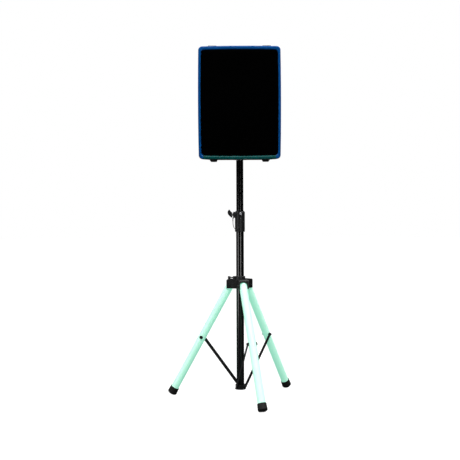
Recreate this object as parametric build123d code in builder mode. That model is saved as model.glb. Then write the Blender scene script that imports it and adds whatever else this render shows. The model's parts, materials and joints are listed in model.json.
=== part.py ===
from build123d import *

import os
from math import atan2, cos, degrees, hypot, pi, radians, sin

# PA speaker on a folding tripod stand with light-up legs. Millimetres.
# +Z is up and the speaker faces -Y. The origin is on the floor under the pole.

# ---- driving dimensions: the stand ---------------------------------------------------
leg_azimuths = [17, 137, 257]  # degrees from the front, turning towards +X
leg_r = 19
leg_wall = 2.5
hub_pivot_r = 50  # leg pivots, from the pole axis
hub_pivot_z = 562
foot_r = 357  # end of each leg's axis, from the pole axis
foot_z = 7
bolt_fraction = 0.476  # place of the strut bolt along the leg
strut_side = 22.8  # middle of each strut, beside its leg
strut_width = 16
strut_thick = 3
collar_pivot_r = 10
collar_pivot_z = 56

main_tube_r = 19
main_tube_wall = 1.2
main_tube_bottom = 46
main_tube_top = 905
pole_r = 17.5
pole_wall = 1.5
pole_bottom = 430
pole_top = 1270
running_gap = 0.05  # radial clearance of a fit that slides or turns

hub_bottom = 547
hub_top = 593
hub_bore_r = 20.6
arm_reach = 64
cheek_inner = 19.6
cheek_outer = 25.6
pivot_pin_r = 4

clamp_bottom = 827.5
clamp_top = 928.5
clamp_r = 24.5
clamp_screw_z = 911
pin_azimuth = 5
pin_z = 918
pin_hole_pitch = 100

cord_r = 1.5
lanyard_route = [
    (-34.5, 0, 893),
    (-34.5, 0, 877),
    (-33.6, -7.5, 859),
    (-28, -17.5, 845),
    (-17, -25.5, 839.5),
    (-6.5, -31, 847),
    (-0.5, -35.5, 862),
    (2.6, -39.5, 879),
    (3.7, -42, 895),
    (3.7, -42, 910.4),
]

# ---- driving dimensions: the cabinet ---------------------------------------------------
cabinet_w = 397
cabinet_h = 541
cabinet_mid_z = 1451.5
side_bow = 2.75  # how far each side swells past its corners
corner_r = 19
rim_front = -155
rim_back = -143
rail_high = 17
rail_side = 12
teal_half = 174
shell_inset = 1.5
shell_wall = 8
taper_start = 20
shell_back = 160
back_w = 290
back_h = 536

baffle_front = -135
baffle_thick = 12
woofer_z = 1357
woofer_r = 155
horn_z = 1622
horn_w = 236
horn_h = 126
port_x = 152
port_z = 1232
port_r = 25

panel_w = 240
panel_h = 340
panel_z = 1440
panel_thick = 3
panel_face = shell_back + panel_thick

foot_places = [(127, -118), (-127, -118), (130, 108), (-130, 108)]
pad_places = [(130, -108), (-130, -108), (108, 95), (-108, 95)]

# ---- places worked out from those ---------------------------------------------------
leg_length = hypot(foot_r - hub_pivot_r, hub_pivot_z - foot_z)
leg_tilt = atan2(foot_r - hub_pivot_r, hub_pivot_z - foot_z)
bolt_s = bolt_fraction * leg_length
bolt_r = hub_pivot_r + bolt_s * sin(leg_tilt)
bolt_z = hub_pivot_z - bolt_s * cos(leg_tilt)
strut_length = hypot(bolt_r - collar_pivot_r, bolt_z - collar_pivot_z)
strut_tilt = atan2(bolt_r - collar_pivot_r, bolt_z - collar_pivot_z)
strut_inner = strut_side - strut_thick / 2
strut_outer = strut_side + strut_thick / 2


def upright_plane(azimuth):
    """The vertical plane through the pole at this azimuth: x outwards, y up."""
    turn = radians(azimuth)
    return Plane(
        origin=(0, 0, 0),
        x_dir=(sin(turn), -cos(turn), 0),
        z_dir=(-cos(turn), -sin(turn), 0),
    )


def outward_plane(azimuth, radius, height):
    """A plane facing outwards at this azimuth: x sideways, y up."""
    base = upright_plane(azimuth)
    return Plane(
        origin=base.from_local_coords((radius, height, 0)),
        x_dir=-base.z_dir,
        z_dir=base.x_dir,
    )


def leg_section(azimuth, along):
    """A plane across the leg, this far down it from its pivot."""
    base = upright_plane(azimuth)
    radius = hub_pivot_r + along * sin(leg_tilt)
    height = hub_pivot_z - along * cos(leg_tilt)
    return Plane(
        origin=base.from_local_coords((radius, height, 0)),
        x_dir=base.z_dir,
        z_dir=base.x_dir * sin(leg_tilt) - base.y_dir * cos(leg_tilt),
    )


def facing(y, z=cabinet_mid_z):
    """A plane across the cabinet at this depth, facing the front: x right, y up."""
    return Plane(origin=(0, y, z), x_dir=(1, 0, 0), z_dir=(0, -1, 0))


def rear_facing(y, z):
    """A plane across the cabinet at this depth, facing the back."""
    return Plane(origin=(0, y, z), x_dir=(-1, 0, 0), z_dir=(0, 1, 0))


def bowed_outline(width, height, bow, corner):
    """A rectangle with swelling sides and round corners."""
    x = width / 2 - bow
    y = height / 2 - bow
    with BuildSketch() as outline:
        with BuildLine():
            ThreePointArc((-x, -y), (0, -height / 2), (x, -y))
            ThreePointArc((x, -y), (width / 2, 0), (x, y))
            ThreePointArc((x, y), (0, height / 2), (-x, y))
            ThreePointArc((-x, y), (-width / 2, 0), (-x, -y))
        make_face()
        fillet(outline.vertices(), corner)
    return outline.sketch


def save(shape, name):
    shape.label = name
    export_step(shape, "parts/" + name + ".step")


os.makedirs("parts", exist_ok=True)

# ---- the stand's pole ---------------------------------------------------
with BuildPart() as main_tube:
    with BuildSketch(Plane.XY.offset(main_tube_bottom)):
        Circle(main_tube_r)
        Circle(main_tube_r - main_tube_wall, mode=Mode.SUBTRACT)
    extrude(amount=main_tube_top - main_tube_bottom)
save(main_tube.part, "main_tube")

plug_flange = 3
with BuildPart() as tube_end_plug:
    with BuildSketch(Plane.XY.offset(main_tube_bottom - plug_flange)):
        Circle(main_tube_r)
    extrude(amount=plug_flange)
    with BuildSketch(Plane.XY.offset(main_tube_bottom)):
        Circle(main_tube_r - main_tube_wall)
        Circle(main_tube_r - main_tube_wall - 3, mode=Mode.SUBTRACT)
    extrude(amount=14)
    chamfer(tube_end_plug.faces().sort_by(Axis.Z)[0].edges(), 1)
save(tube_end_plug.part, "tube_end_plug")

pole_hole_r = 4.4
hole_zs = [pin_z + pin_hole_pitch * step for step in range(-3, 3)]
with BuildPart() as upper_pole:
    with BuildSketch(Plane.XY.offset(pole_bottom)):
        Circle(pole_r)
        Circle(pole_r - pole_wall, mode=Mode.SUBTRACT)
    extrude(amount=pole_top - pole_bottom)
    with BuildSketch(outward_plane(pin_azimuth, 0, 0)):
        with Locations([(0, z) for z in hole_zs]):
            Circle(pole_hole_r)
    extrude(amount=pole_r + 5, mode=Mode.SUBTRACT)
save(upper_pole.part, "upper_pole")

bush_height = 22
with BuildPart() as pole_bottom_bush:
    with BuildSketch(Plane.XY.offset(pole_bottom - 6)):
        Circle(main_tube_r - main_tube_wall - running_gap)
        Circle(9, mode=Mode.SUBTRACT)
    extrude(amount=6)
    with BuildSketch(Plane.XY.offset(pole_bottom)):
        Circle(pole_r - pole_wall)
        Circle(9, mode=Mode.SUBTRACT)
    extrude(amount=bush_height)
save(pole_bottom_bush.part, "pole_bottom_bush")

# ---- bottom collar, with a flat for each strut ---------------------------------------------------
collar_bottom = main_tube_bottom - plug_flange
collar_flange_r = 27
collar_flange_top = collar_bottom + 4.5
collar_top = 66
collar_flat = strut_inner - 0.3
rivet_r = 3
rivet_grip = 3.2
with BuildPart() as bottom_collar:
    with BuildSketch(Plane.XY.offset(collar_bottom)):
        Circle(collar_flange_r)
    extrude(amount=collar_flange_top - collar_bottom)
    with BuildSketch(Plane.XY.offset(collar_flange_top)):
        Circle(collar_flange_r)
        for azimuth in leg_azimuths:
            side = upright_plane(azimuth).z_dir
            away = side * (collar_flat + collar_flange_r)
            with Locations(Location((away.X, away.Y, 0), (0, 0, azimuth))):
                Rectangle(2 * collar_flange_r, 4 * collar_flange_r, mode=Mode.SUBTRACT)
    extrude(amount=collar_top - collar_flange_top)
    fillet(bottom_collar.edges().group_by(Axis.Z)[0], 1.5)
    with BuildSketch(Plane.XY.offset(collar_bottom)):
        Circle(main_tube_r)
    extrude(amount=collar_top, mode=Mode.SUBTRACT)
    for azimuth in leg_azimuths:
        with BuildSketch(upright_plane(azimuth).offset(collar_flat - rivet_grip)):
            with Locations((collar_pivot_r, collar_pivot_z)):
                Circle(rivet_r)
        extrude(amount=10, mode=Mode.SUBTRACT)
save(bottom_collar.part, "bottom_collar")

rivet_head_r = 6
with BuildPart() as collar_rivets:
    for azimuth in leg_azimuths:
        with BuildSketch(upright_plane(azimuth).offset(collar_flat - rivet_grip)):
            with Locations((collar_pivot_r, collar_pivot_z)):
                Circle(rivet_r)
        extrude(amount=strut_outer + 0.3 - collar_flat + rivet_grip)
        with BuildSketch(upright_plane(azimuth).offset(strut_outer + 0.3)):
            with Locations((collar_pivot_r, collar_pivot_z)):
                Circle(rivet_head_r)
        extrude(amount=3, taper=25)
save(collar_rivets.part, "collar_rivets")

# ---- struts: flat bars from the collar to the middle of each leg ----------------------------------
open_pivot_gap = 2  # the folding linkage is open at the bolts of legs 2 and 3
strut_play = [0.2, 1.2, 1.2]  # beside each strut, along its bolt
strut_bores = [rivet_r + running_gap, rivet_r + open_pivot_gap, rivet_r + open_pivot_gap]
for number, azimuth in enumerate(leg_azimuths):
    middle_r = (collar_pivot_r + bolt_r) / 2
    middle_z = (collar_pivot_z + bolt_z) / 2
    with BuildPart() as strut:
        with BuildSketch(upright_plane(azimuth).offset(strut_inner)):
            with Locations(Location((middle_r, middle_z, 0), (0, 0, 90 - degrees(strut_tilt)))):
                SlotCenterToCenter(strut_length, strut_width)
        extrude(amount=strut_thick)
        fillet(strut.edges().filter_by(upright_plane(azimuth)), 0.8)
        with BuildSketch(upright_plane(azimuth).offset(strut_inner)):
            with Locations((collar_pivot_r, collar_pivot_z)):
                Circle(rivet_r + running_gap)
            with Locations((bolt_r, bolt_z)):
                Circle(strut_bores[number])
        extrude(amount=strut_thick, mode=Mode.SUBTRACT)
    save(strut.part, f"strut_{number + 1}")

# ---- light-up legs ---------------------------------------------------
dome_top = -15
dome_fillet = 14
tube_start = 18
foot_length = 37
foot_floor = 6
foot_cap_r = 24
foot_flare = 2
led_start = 50
led_count = 20
led_pitch = 28
strip_offset = 7.5
strip_thick = 1.6
bolt_head_r = 9
bolt_head_high = 5
nut_r = 6.5
nut_high = 5
washer_r = 8
for number, azimuth in enumerate(leg_azimuths):
    across = upright_plane(azimuth)
    with BuildPart() as leg_tube:
        with BuildSketch(leg_section(azimuth, tube_start)):
            Circle(leg_r)
            Circle(leg_r - leg_wall, mode=Mode.SUBTRACT)
        extrude(amount=leg_length - foot_floor - tube_start)
        with BuildSketch(across.offset(-2 * leg_r)):
            with Locations((bolt_r, bolt_z)):
                Circle(rivet_r)
        extrude(amount=4 * leg_r, mode=Mode.SUBTRACT)
    save(leg_tube.part, f"leg_tube_{number + 1}")

    with BuildPart() as leg_top_plug:
        with BuildSketch(leg_section(azimuth, dome_top)):
            Circle(leg_r)
        extrude(amount=tube_start - dome_top)
        fillet(leg_top_plug.edges().sort_by(Axis.Z)[-1], dome_fillet)
        with BuildSketch(leg_section(azimuth, tube_start)):
            Circle(leg_r - leg_wall)
        extrude(amount=14)
        with BuildSketch(across.offset(-2 * leg_r)):
            with Locations((hub_pivot_r, hub_pivot_z)):
                Circle(pivot_pin_r + running_gap)
        extrude(amount=4 * leg_r, mode=Mode.SUBTRACT)
    save(leg_top_plug.part, f"leg_top_plug_{number + 1}")

    with BuildPart() as leg_led_strip:
        with BuildSketch(leg_section(azimuth, led_start - led_pitch / 2)):
            with Locations((0, strip_offset + strip_thick / 2)):
                Rectangle(12, strip_thick)
        extrude(amount=led_count * led_pitch)
        for led in range(led_count):
            with BuildSketch(leg_section(azimuth, led_start + led * led_pitch - 2.5)):
                with Locations((0, strip_offset - 0.7)):
                    Rectangle(5, 1.4)
            extrude(amount=5)
    save(leg_led_strip.part, f"leg_led_strip_{number + 1}")

    with BuildPart() as leg_bolt:
        with BuildSketch(across.offset(-leg_r - bolt_head_high)):
            with Locations((bolt_r, bolt_z)):
                Circle(bolt_head_r)
        extrude(amount=bolt_head_high + 2)
        fillet(leg_bolt.faces().sort_by(Axis(across.origin, across.z_dir))[0].edges(), 3)
        with BuildSketch(across.offset(leg_r - 2)):
            with Locations((bolt_r, bolt_z)):
                Circle(washer_r)
        extrude(amount=strut_inner - strut_play[number] - leg_r + 2)
        with BuildSketch(leg_section(azimuth, bolt_s - leg_r)):
            Circle(leg_r)
        extrude(amount=2 * leg_r, mode=Mode.SUBTRACT)
        with BuildSketch(across.offset(-leg_r - 1)):
            with Locations((bolt_r, bolt_z)):
                Circle(rivet_r)
        extrude(amount=leg_r + 1 + strut_outer + strut_play[number] + nut_high)
        with BuildSketch(across.offset(strut_outer + strut_play[number])):
            with Locations((bolt_r, bolt_z)):
                RegularPolygon(nut_r, 6)
        extrude(amount=nut_high - 1)
    save(leg_bolt.part, f"leg_bolt_{number + 1}")

    with BuildPart() as leg_foot:
        with BuildSketch(leg_section(azimuth, leg_length - foot_length)):
            Circle(foot_cap_r - foot_flare)
        with BuildSketch(leg_section(azimuth, leg_length)):
            Circle(foot_cap_r)
        loft()
        fillet(leg_foot.edges().sort_by(Axis.Z)[0], 8)
        fillet(leg_foot.edges().sort_by(Axis.Z)[-1], 0.8)
        with BuildSketch(leg_section(azimuth, leg_length - foot_length)):
            Circle(leg_r)
        extrude(amount=foot_length - foot_floor, mode=Mode.SUBTRACT)
        split(bisect_by=Plane.XY, keep=Keep.TOP)
    save(leg_foot.part, f"leg_foot_{number + 1}")

# ---- hub: a sleeve with three forked arms ---------------------------------------------------
arm_ceiling = hub_pivot_z + 21
channel_start = hub_pivot_r - 20
with BuildPart() as hub_body:
    with BuildSketch(Plane.XY.offset(hub_bottom)):
        Circle(32)
    extrude(amount=hub_top - hub_bottom)
    for azimuth in leg_azimuths:
        with BuildSketch(outward_plane(azimuth, 0, (hub_bottom + hub_top - 1) / 2)):
            Rectangle(2 * cheek_outer, hub_top - hub_bottom - 1)
        extrude(amount=arm_reach)
        outwards = Axis((0, 0, 0), tuple(upright_plane(azimuth).x_dir))
        tip = hub_body.faces().sort_by(outwards)[-1]
        chamfer(tip.edges().sort_by(Axis.Z)[-1], 4)
    for azimuth in leg_azimuths:
        with BuildSketch(outward_plane(azimuth, channel_start, 0)) as channel:
            with Locations((0, (hub_bottom - 2 + arm_ceiling) / 2)):
                Rectangle(2 * cheek_inner, arm_ceiling - hub_bottom + 2)
            fillet(channel.vertices().group_by(Axis.Y)[-1], 12)
        extrude(amount=arm_reach, mode=Mode.SUBTRACT)
        with BuildSketch(upright_plane(azimuth).offset(-2 * cheek_outer)):
            with Locations((hub_pivot_r, hub_pivot_z)):
                Circle(pivot_pin_r)
        extrude(amount=4 * cheek_outer, mode=Mode.SUBTRACT)
    with BuildSketch(Plane.XY.offset(hub_bottom)):
        Circle(hub_bore_r)
    extrude(amount=hub_top - hub_bottom, mode=Mode.SUBTRACT)
save(hub_body.part, "hub_body")

with BuildPart() as hub_pivot_pins:
    for azimuth in leg_azimuths:
        for half in (1, -1):
            with BuildSketch(upright_plane(azimuth)):
                with Locations((hub_pivot_r, hub_pivot_z)):
                    Circle(pivot_pin_r)
            extrude(amount=half * cheek_outer)
            with BuildSketch(upright_plane(azimuth).offset(half * cheek_outer)):
                with Locations((hub_pivot_r, hub_pivot_z)):
                    Circle(6.5)
            extrude(amount=half * 2.4, taper=20)
save(hub_pivot_pins.part, "hub_pivot_pins")

ring_height = 14
hub_screw_z = hub_top + ring_height / 2 + 0.5
hub_lug_reach = 36
hub_screw_tip = 22
screw_r = 3
with BuildPart() as hub_clamp_ring:
    with BuildSketch(Plane.XY.offset(hub_top)):
        Circle(25.5)
        with Locations((-hub_lug_reach / 2, 0)):
            Rectangle(hub_lug_reach, 15)
        Circle(hub_bore_r, mode=Mode.SUBTRACT)
    extrude(amount=ring_height)
    chamfer(hub_clamp_ring.faces().sort_by(Axis.Z)[-1].outer_wire().edges(), 1.5)
    with BuildSketch(Plane.YZ.offset(-hub_lug_reach)):
        with Locations((0, hub_screw_z)):
            Circle(screw_r + running_gap)
    extrude(amount=hub_lug_reach - 10, mode=Mode.SUBTRACT)
save(hub_clamp_ring.part, "hub_clamp_ring")

hub_knob_r = 6.8
with BuildPart() as hub_knob:
    with BuildSketch(Plane.YZ.offset(-47.5)):
        with Locations((0, hub_screw_z)):
            Circle(hub_knob_r)
            with PolarLocations(hub_knob_r + 1.2, 6):
                Circle(2.2, mode=Mode.SUBTRACT)
    extrude(amount=-13)
    fillet(hub_knob.faces().sort_by(Axis.X)[0].edges(), 0.8)
    with BuildSketch(Plane.YZ.offset(-47.5)):
        with Locations((0, hub_screw_z)):
            Circle(screw_r)
    extrude(amount=47.5 - hub_screw_tip)
save(hub_knob.part, "hub_knob")

# ---- height clamp at the top of the main tube ---------------------------------------------------
boss_reach = 33
nose_reach = 36.4
nose_r = 9
bush_r = 21.5
pin_r = 4
with BuildPart() as height_clamp:
    with BuildSketch(Plane.XY.offset(clamp_bottom)):
        Circle(clamp_r)
    extrude(amount=clamp_top - clamp_bottom)
    chamfer(height_clamp.faces().sort_by(Axis.Z)[-1].edges(), 4)
    fillet(height_clamp.faces().sort_by(Axis.Z)[0].edges(), 2)
    with BuildSketch(Plane.YZ.offset(-boss_reach)):
        with Locations((0, clamp_screw_z)):
            RectangleRounded(24, 30, 3)
    extrude(amount=boss_reach)
    with BuildSketch(Plane.YZ.offset(-nose_reach)):
        with Locations((0, clamp_screw_z)):
            Circle(nose_r)
    extrude(amount=nose_reach - boss_reach)
    with BuildSketch(Plane.XY.offset(lanyard_route[0][2])):
        with Locations((-boss_reach - 0.4, 0)):
            Rectangle(6, 5)
    extrude(amount=5)
    with BuildSketch(outward_plane(pin_azimuth, 0, 0)):
        with Locations((0, pin_z)):
            Circle(8)
    extrude(amount=clamp_r + 2)
    with BuildSketch(Plane.XY.offset(clamp_bottom)):
        Circle(main_tube_r)
    extrude(amount=main_tube_top - clamp_bottom, mode=Mode.SUBTRACT)
    with BuildSketch(Plane.XY.offset(main_tube_top)):
        Circle(bush_r)
    extrude(amount=clamp_top - main_tube_top, mode=Mode.SUBTRACT)
    with BuildSketch(Plane.YZ.offset(-nose_reach)):
        with Locations((0, clamp_screw_z)):
            Circle(screw_r + running_gap)
    extrude(amount=nose_reach, mode=Mode.SUBTRACT)
    with BuildSketch(outward_plane(pin_azimuth, 0, 0)):
        with Locations((0, pin_z)):
            Circle(pin_r + running_gap)
    extrude(amount=2 * clamp_r, mode=Mode.SUBTRACT)
save(height_clamp.part, "height_clamp")

with BuildPart() as clamp_bush:
    with BuildSketch(Plane.XY.offset(main_tube_top)):
        Circle(bush_r)
        Circle(pole_r + running_gap, mode=Mode.SUBTRACT)
    extrude(amount=clamp_top + 1.5 - main_tube_top)
    with BuildSketch(Plane.YZ.offset(-2 * bush_r)):
        with Locations((0, clamp_screw_z)):
            Circle(screw_r + 0.5)
    extrude(amount=2 * bush_r, mode=Mode.SUBTRACT)
    with BuildSketch(outward_plane(pin_azimuth, 0, 0)):
        with Locations((0, pin_z)):
            Circle(pin_r + running_gap)
    extrude(amount=2 * bush_r, mode=Mode.SUBTRACT)
save(clamp_bush.part, "clamp_bush")

knob_disc_r = 13.5
horn_thick = 11
side_view = Plane(origin=(0, 0, clamp_screw_z), x_dir=(-1, 0, 0), z_dir=(0, 1, 0))
with BuildPart() as clamp_knob:
    with BuildSketch(side_view):
        with BuildLine():
            ThreePointArc((40, 13), (44.5, 16.5), (49.5, 23))
            ThreePointArc((49.5, 23), (52.4, 25.6), (55.5, 24))
            ThreePointArc((55.5, 24), (60.6, 11), (53, -3))
            ThreePointArc((53, -3), (47.5, -9.5), (40, -13))
            Line((40, -13), (40, 13))
        make_face()
    extrude(amount=horn_thick / 2, both=True)
    outer_arcs = clamp_knob.edges().filter_by(GeomType.CIRCLE).sort_by(SortBy.LENGTH)[-2:]
    fillet(outer_arcs, 2)
    with BuildSketch(Plane.YZ.offset(-44)):
        with Locations((0, clamp_screw_z)):
            Circle(knob_disc_r)
    extrude(amount=6)
    fillet(clamp_knob.edges().filter_by(GeomType.CIRCLE).sort_by(Axis.X)[-1], 1.5)
    with BuildSketch(Plane.YZ.offset(-42)):
        with Locations((0, clamp_screw_z)):
            Circle(screw_r)
    extrude(amount=42 - pole_r - 0.7)
save(clamp_knob.part, "clamp_knob")

pin_tip = 18.2
pin_travel = 12
pin_head_start = clamp_r + 2 + pin_travel + 0.5
with BuildPart() as locking_pin:
    with BuildSketch(outward_plane(pin_azimuth, pin_tip, pin_z)):
        Circle(pin_r)
    extrude(amount=pin_head_start - pin_tip)
    chamfer(locking_pin.faces().sort_by(Axis.Y)[-1].edges(), 0.8)
    with BuildSketch(outward_plane(pin_azimuth, pin_head_start, pin_z)):
        Circle(7.2)
    extrude(amount=7)
    fillet(locking_pin.faces().sort_by(Axis.Y)[0].edges(), 2)
save(locking_pin.part, "locking_pin")

# ---- lanyard from the clamp to the pin ---------------------------------------------------
points = [Vector(*point) for point in lanyard_route]
radii = []
for before, at, after in zip(points, points[1:], points[2:]):
    turn = radians((at - before).get_angle(after - at))
    shorter = min((at - before).length, (after - at).length)
    radii.append(0.45 * shorter * cos(turn / 2) / sin(turn / 2))
print("lanyard radii", [round(radius, 1) for radius in radii])
with BuildPart() as pin_lanyard:
    with BuildLine() as route:
        FilletPolyline(*points, radius=radii)
    with BuildSketch(Plane(origin=points[0], z_dir=points[1] - points[0])):
        Circle(cord_r)
    sweep()
run = sum(edge.length for edge in route.edges())
drawn = pin_lanyard.part.volume / (pi * cord_r**2)
print("lanyard length", round(run, 1), "by volume", round(drawn, 1))
save(pin_lanyard.part, "pin_lanyard")

# ---- cabinet shell ---------------------------------------------------
shell_w = cabinet_w - 2 * shell_inset
shell_h = cabinet_h - 2 * shell_inset
shell_outline = bowed_outline(shell_w, shell_h, side_bow, corner_r)
inner_w = shell_w - 2 * shell_wall
inner_h = shell_h - 2 * shell_wall
inner_outline = bowed_outline(inner_w, inner_h, side_bow, corner_r - shell_wall)
with BuildSketch() as back_sketch:
    RectangleRounded(back_w, back_h, corner_r)
with BuildSketch() as inner_back_sketch:
    RectangleRounded(back_w - 2 * shell_wall, back_h - 2 * shell_wall, corner_r - shell_wall)
panel_opening_w = panel_w - 24
panel_opening_h = panel_h - 24
foot_seat_z = 1185
foot_seat_r = 18.2
pad_seat_z = 1717.5
pad_w = 42
pad_d = 60
socket_r = 24
handle_w = 126
handle_h = 84
handle_y = -52
handle_z = 1520
handle_face = 194
handle_depth = 46
with BuildPart() as cabinet_shell:
    with BuildSketch(facing(rim_back)):
        add(shell_outline)
    extrude(amount=rim_back - taper_start)
    with BuildSketch(facing(taper_start)):
        add(shell_outline)
    with BuildSketch(facing(shell_back)):
        add(back_sketch.sketch)
    loft()
    fillet(cabinet_shell.faces().sort_by(Axis.Y)[-1].edges(), 5)
    with BuildSketch(facing(rim_back)):
        add(inner_outline)
    extrude(amount=rim_back - taper_start, mode=Mode.SUBTRACT)
    with BuildSketch(facing(taper_start)):
        add(inner_outline)
    with BuildSketch(facing(shell_back - shell_wall)):
        add(inner_back_sketch.sketch)
    loft(mode=Mode.SUBTRACT)
    with BuildSketch(facing(shell_back, panel_z)):
        RectangleRounded(panel_opening_w, panel_opening_h, 8)
    extrude(amount=2 * shell_wall, both=True, mode=Mode.SUBTRACT)
    with BuildSketch(Plane.XY.offset(cabinet_mid_z - cabinet_h / 2 - 5)):
        Circle(socket_r)
    extrude(amount=40, mode=Mode.SUBTRACT)
    with BuildSketch(Plane.XY.offset(foot_seat_z)):
        with Locations(foot_places):
            Circle(foot_seat_r)
    extrude(amount=-20, mode=Mode.SUBTRACT)
    with BuildSketch(Plane.XY.offset(pad_seat_z)):
        with Locations(pad_places):
            RectangleRounded(pad_w, pad_d, 6)
    extrude(amount=20, mode=Mode.SUBTRACT)
    for side in (1, -1):
        with BuildSketch(Plane.YZ.offset(side * handle_face)):
            with Locations((handle_y, handle_z)):
                RectangleRounded(handle_w, handle_h, 14)
        extrude(amount=20, both=True, mode=Mode.SUBTRACT)
save(cabinet_shell.part, "cabinet_shell")

# ---- bead round the front ---------------------------------------------------
bead_outline = bowed_outline(cabinet_w, cabinet_h, side_bow, corner_r)
opening_w = cabinet_w - 2 * rail_side
opening_h = cabinet_h - 2 * rail_high
opening_corner = 16
opening_outline = bowed_outline(opening_w, opening_h, side_bow, opening_corner)
for keep, name in ((Mode.SUBTRACT, "front_rim"), (Mode.INTERSECT, "front_rim_lower")):
    with BuildPart() as rim:
        with BuildSketch(facing(rim_back)):
            add(bead_outline)
            add(opening_outline, mode=Mode.SUBTRACT)
        extrude(amount=rim_back - rim_front)
        fillet(rim.faces().sort_by(Axis.Y)[0].edges(), 5.5)
        with BuildSketch(facing(rim_back)):
            with Locations((0, -cabinet_h / 2)):
                Rectangle(2 * teal_half, 80)
        extrude(amount=30, both=True, mode=keep)
    save(rim.part, name)

# ---- grille: a perforated tray, drawn here without its holes ----------------------------------
grille_front = -150
grille_gap = 1
grille_thick = 1.5
tray_outline = bowed_outline(
    opening_w - 2 * grille_gap,
    opening_h - 2 * grille_gap,
    side_bow,
    opening_corner - grille_gap,
)
tray_inner = bowed_outline(
    opening_w - 2 * grille_gap - 2 * grille_thick,
    opening_h - 2 * grille_gap - 2 * grille_thick,
    side_bow,
    opening_corner - grille_gap - grille_thick,
)
with BuildPart() as grille:
    with BuildSketch(facing(baffle_front)):
        add(tray_outline)
    extrude(amount=baffle_front - grille_front)
    fillet(grille.faces().sort_by(Axis.Y)[0].edges(), 1.2)
    with BuildSketch(facing(baffle_front)):
        add(tray_inner)
    extrude(amount=baffle_front - grille_front - grille_thick, mode=Mode.SUBTRACT)
save(grille.part, "grille")

# ---- front baffle, woofer and horn ---------------------------------------------------
baffle_back = baffle_front + baffle_thick
cut_r = woofer_r - 11
flare_wall = 4
with BuildPart() as front_baffle:
    with BuildSketch(facing(baffle_front)):
        add(inner_outline)
        with Locations((0, woofer_z - cabinet_mid_z)):
            Circle(cut_r, mode=Mode.SUBTRACT)
        with Locations((0, horn_z - cabinet_mid_z)):
            RectangleRounded(horn_w, horn_h, 12, mode=Mode.SUBTRACT)
        with Locations((port_x, port_z - cabinet_mid_z), (-port_x, port_z - cabinet_mid_z)):
            Circle(port_r, mode=Mode.SUBTRACT)
    extrude(amount=-baffle_thick)
save(front_baffle.part, "front_baffle")

frame_front = baffle_front - 5
magnet_front = -60
magnet_back = -27
magnet_r = 70
neck_r = 44
woofer_axis = Plane(origin=(0, 0, woofer_z), x_dir=(1, 0, 0), z_dir=(0, 0, 1))
axis_of_woofer = Axis((0, 0, woofer_z), (0, -1, 0))
with BuildPart() as woofer_frame:
    with BuildSketch(woofer_axis):
        with BuildLine():
            Polyline(
                (133, frame_front),
                (woofer_r, frame_front),
                (woofer_r, baffle_front),
                (cut_r - 1, baffle_front),
                (cut_r - 1, baffle_back + 8),
                (70, magnet_front - 3),
                (70, magnet_front),
                (neck_r, magnet_front),
                (neck_r, magnet_front - 3),
                (66, magnet_front - 3),
                (133, baffle_back + 4),
                (133, frame_front),
            )
        make_face()
    revolve(axis=axis_of_woofer)
    with BuildSketch(facing(baffle_back + 12, woofer_z)):
        with PolarLocations(100, 8, start_angle=22.5):
            SlotOverall(48, 30)
    extrude(amount=-60, mode=Mode.SUBTRACT)
save(woofer_frame.part, "woofer_frame")

roll_r = 6.2
roll_mid = 130 - roll_r
with BuildPart() as woofer_surround:
    with BuildSketch(woofer_axis):
        with BuildLine():
            Line((roll_mid - roll_r, frame_front), (roll_mid - roll_r + 1, frame_front))
            ThreePointArc(
                (roll_mid - roll_r + 1, frame_front),
                (roll_mid, frame_front - roll_r + 1),
                (roll_mid + roll_r - 1, frame_front),
            )
            Polyline(
                (roll_mid + roll_r - 1, frame_front),
                (144, frame_front),
                (144, frame_front - 1),
                (roll_mid + roll_r, frame_front - 1),
            )
            ThreePointArc(
                (roll_mid + roll_r, frame_front - 1),
                (roll_mid, frame_front - roll_r),
                (roll_mid - roll_r, frame_front),
            )
        make_face()
    revolve(axis=axis_of_woofer)
save(woofer_surround.part, "woofer_surround")

cone_r = roll_mid - roll_r - 0.6
coil_r = 38
cone_thick = 1.2
with BuildPart() as woofer_cone:
    with BuildSketch(woofer_axis):
        with BuildLine():
            Polyline(
                (cone_r, frame_front + 1),
                (coil_r, frame_front + 48),
                (coil_r, magnet_front + 14),
                (coil_r - 1, magnet_front + 14),
                (coil_r - 1, frame_front + 48 - cone_thick),
                (cone_r, frame_front + 1 - cone_thick),
                (cone_r, frame_front + 1),
            )
        make_face()
    revolve(axis=axis_of_woofer)
save(woofer_cone.part, "woofer_cone")

with BuildPart() as woofer_magnet:
    with BuildSketch(facing(magnet_back, woofer_z)):
        Circle(magnet_r)
    extrude(amount=magnet_back - magnet_front)
    with BuildSketch(facing(magnet_front, woofer_z)):
        Circle(coil_r + 1.5)
        Circle(coil_r - 2.5, mode=Mode.SUBTRACT)
    extrude(amount=-25, mode=Mode.SUBTRACT)
    chamfer(woofer_magnet.faces().sort_by(Axis.Y)[-1].edges(), 2)
save(woofer_magnet.part, "woofer_magnet")

with BuildPart() as woofer_screws:
    with BuildSketch(facing(frame_front, woofer_z)):
        with PolarLocations(woofer_r - 5.5, 8, start_angle=22.5):
            Circle(4)
    extrude(amount=2.4, taper=20)
save(woofer_screws.part, "woofer_screws")

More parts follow.
